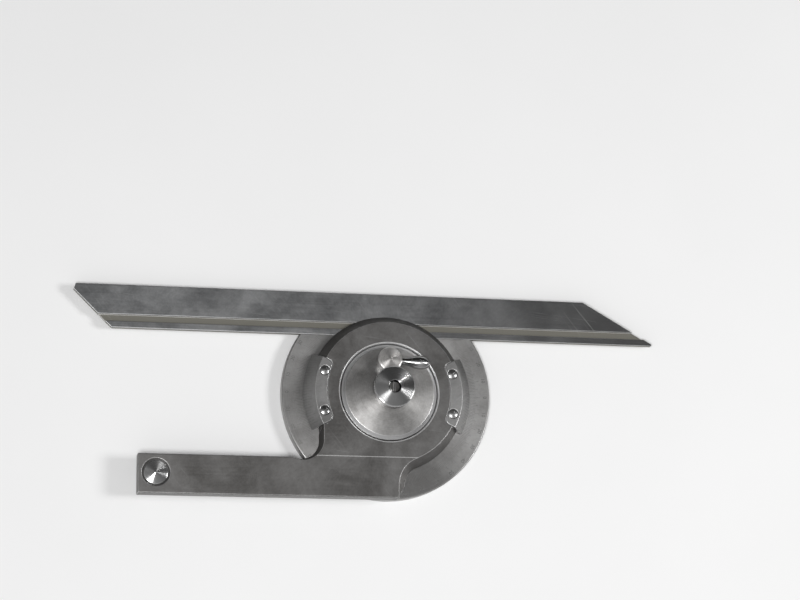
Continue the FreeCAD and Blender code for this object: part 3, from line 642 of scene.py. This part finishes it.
def finish_turned_pieces():
    """Disc, cap, knob, stud, boss and plug, each with rings about its own axis."""
    spindle = middle((SPINDLE_LOW, SPINDLE_HIGH))
    plug = middle((PLUG_LOW, PLUG_HIGH))
    disc = turned_steel("disc_turned", AXIS, 0.38, 0.2, 0.035, rough=0.4, shine=0.6, bare=0.9)
    cap = turned_steel("cap_turned", AXIS, 0.56, 0.23, 0.045, rough=0.36, shine=0.5, slope=5,
                       bare=0.9, painted_band=CAP_BEVEL_REFLECTION)
    # side gives the knob, stud and boss a painted dark reflection on their upright sides
    knob = turned_steel("knob_polished", AXIS, 0.62, 0.55, 0.0, rough=0.21, grain=0.04,
                        shine=0.93, ring_depth=0.1, side=0.1)
    stud = turned_steel("stud_end", AXIS, 0.26, 0.13, 0.06, rough=0.3, shine=0.3, side=0.08)
    boss = turned_steel("boss_polished", spindle, 0.95, 0.52, 0.06, rough=0.3, shine=0.6,
                        slope=4, side=0.15)
    plug_end = turned_steel("plug_polished", plug, 0.64, 0.56, 0.0, rough=0.2, grain=0.05,
                            shine=0.93, slope=7, ring_depth=0.1)
    set_material(["dial_disc", "dial_hub"], disc)
    set_material(["hub_cap"], cap)
    set_material(["lock_knob", "thrust_washer"], knob)
    set_material(["centre_stud"], stud)
    set_material(["clamp_spindle", "clamp_bush"], boss)
    set_material(["stock_plug"], plug_end)
    set_material(["clamp_lever"], LEVER_FINISH)


# ---------------------------------------------------------------- floor, lights and camera

FLOOR_HALF = 1.5
FLOOR_TONE = (0.9, 0.9, 0.9, 1)

# the soft light of the room: its dimmest and brightest strength, and where it comes from
WORLD_DIM = 0.035
WORLD_BRIGHT = 0.58
WORLD_SIDE = (-0.35, -0.78, 0.5)
WORLD_LOW = 0.12
WORLD_HIGH = 1.0

# name, place in metres, size and power
LAMPS = [
    ("overhead", (-0.25, -0.27, 0.93), 0.26, 5.2),
    ("right_side", (0.74, -0.05, 0.67), 0.3, 4.0),
    ("far_right", (0.42, 0.4, 0.8), 0.02, 0.13),
]

# the lens in millimetres, the place in metres and the turn in radians
VIEW_LENS = 103.3
VIEW_PLACE = (-0.15083, -0.15640, 0.74213)
VIEW_TURN = (0.2511, -0.2017, 0.0388)


def make_floor():
    """A plain pale floor, which the instrument lies on."""
    bm = bmesh.new()
    bmesh.ops.create_grid(bm, x_segments=1, y_segments=1, size=FLOOR_HALF)
    mesh = bpy.data.meshes.new("floor")
    bm.to_mesh(mesh)
    bm.free()
    floor = bpy.data.objects.new("floor", mesh)
    bpy.context.scene.collection.objects.link(floor)
    floor.data.materials.append(plain("floor_pale", FLOOR_TONE, 0.9))


def add_lamp(name, place, size, power):
    """A round soft lamp that shines at the turning axis."""
    light = bpy.data.lights.new(name, "AREA")
    light.shape = "DISK"
    light.size = size
    light.energy = power
    lamp = bpy.data.objects.new(name, light)
    lamp.location = place
    lamp.rotation_euler = Vector(place).to_track_quat("Z", "Y").to_euler()
    bpy.context.scene.collection.objects.link(lamp)


def make_world():
    """Soft light from all round: brightest in front, to the left and above, dim behind."""
    world = bpy.data.worlds.new("studio")
    world.use_nodes = True
    tree = world.node_tree
    direction = tree.nodes.new("ShaderNodeTexCoord").outputs["Generated"]
    dot = tree.nodes.new("ShaderNodeVectorMath")
    dot.operation = "DOT_PRODUCT"
    dot.inputs[1].default_value = WORLD_SIDE
    tree.links.new(direction, dot.inputs[0])
    level = tree.nodes.new("ShaderNodeMapRange")
    tree.links.new(dot.outputs["Value"], level.inputs["Value"])
    level.inputs["From Min"].default_value = WORLD_LOW
    level.inputs["From Max"].default_value = WORLD_HIGH
    level.inputs["To Min"].default_value = WORLD_DIM
    level.inputs["To Max"].default_value = WORLD_BRIGHT
    background = tree.nodes["Background"]
    background.inputs["Color"].default_value = (1, 1, 1, 1)
    tree.links.new(level.outputs[0], background.inputs["Strength"])
    bpy.context.scene.world = world


def make_lights():
    """The soft light from all round, and the lamps in it."""
    make_world()
    for name, place, size, power in LAMPS:
        add_lamp(name, place, size, power)


def make_camera():
    """Nearly overhead, a little to the left and in front, as one looks down at a bench."""
    camera = bpy.data.cameras.new("camera")
    camera.lens = VIEW_LENS
    camera.sensor_width = 36
    camera.clip_start = 0.01
    viewer = bpy.data.objects.new("camera", camera)
    viewer.location = VIEW_PLACE
    viewer.rotation_mode = "ZYX"
    viewer.rotation_euler = VIEW_TURN
    bpy.context.scene.collection.objects.link(viewer)
    bpy.context.scene.camera = viewer


bpy.context.scene.view_settings.view_transform = "Standard"
finish_flat_pieces()
finish_turned_pieces()
make_lever()
make_screws()
make_graduations()
make_floor()
make_lights()
make_camera()
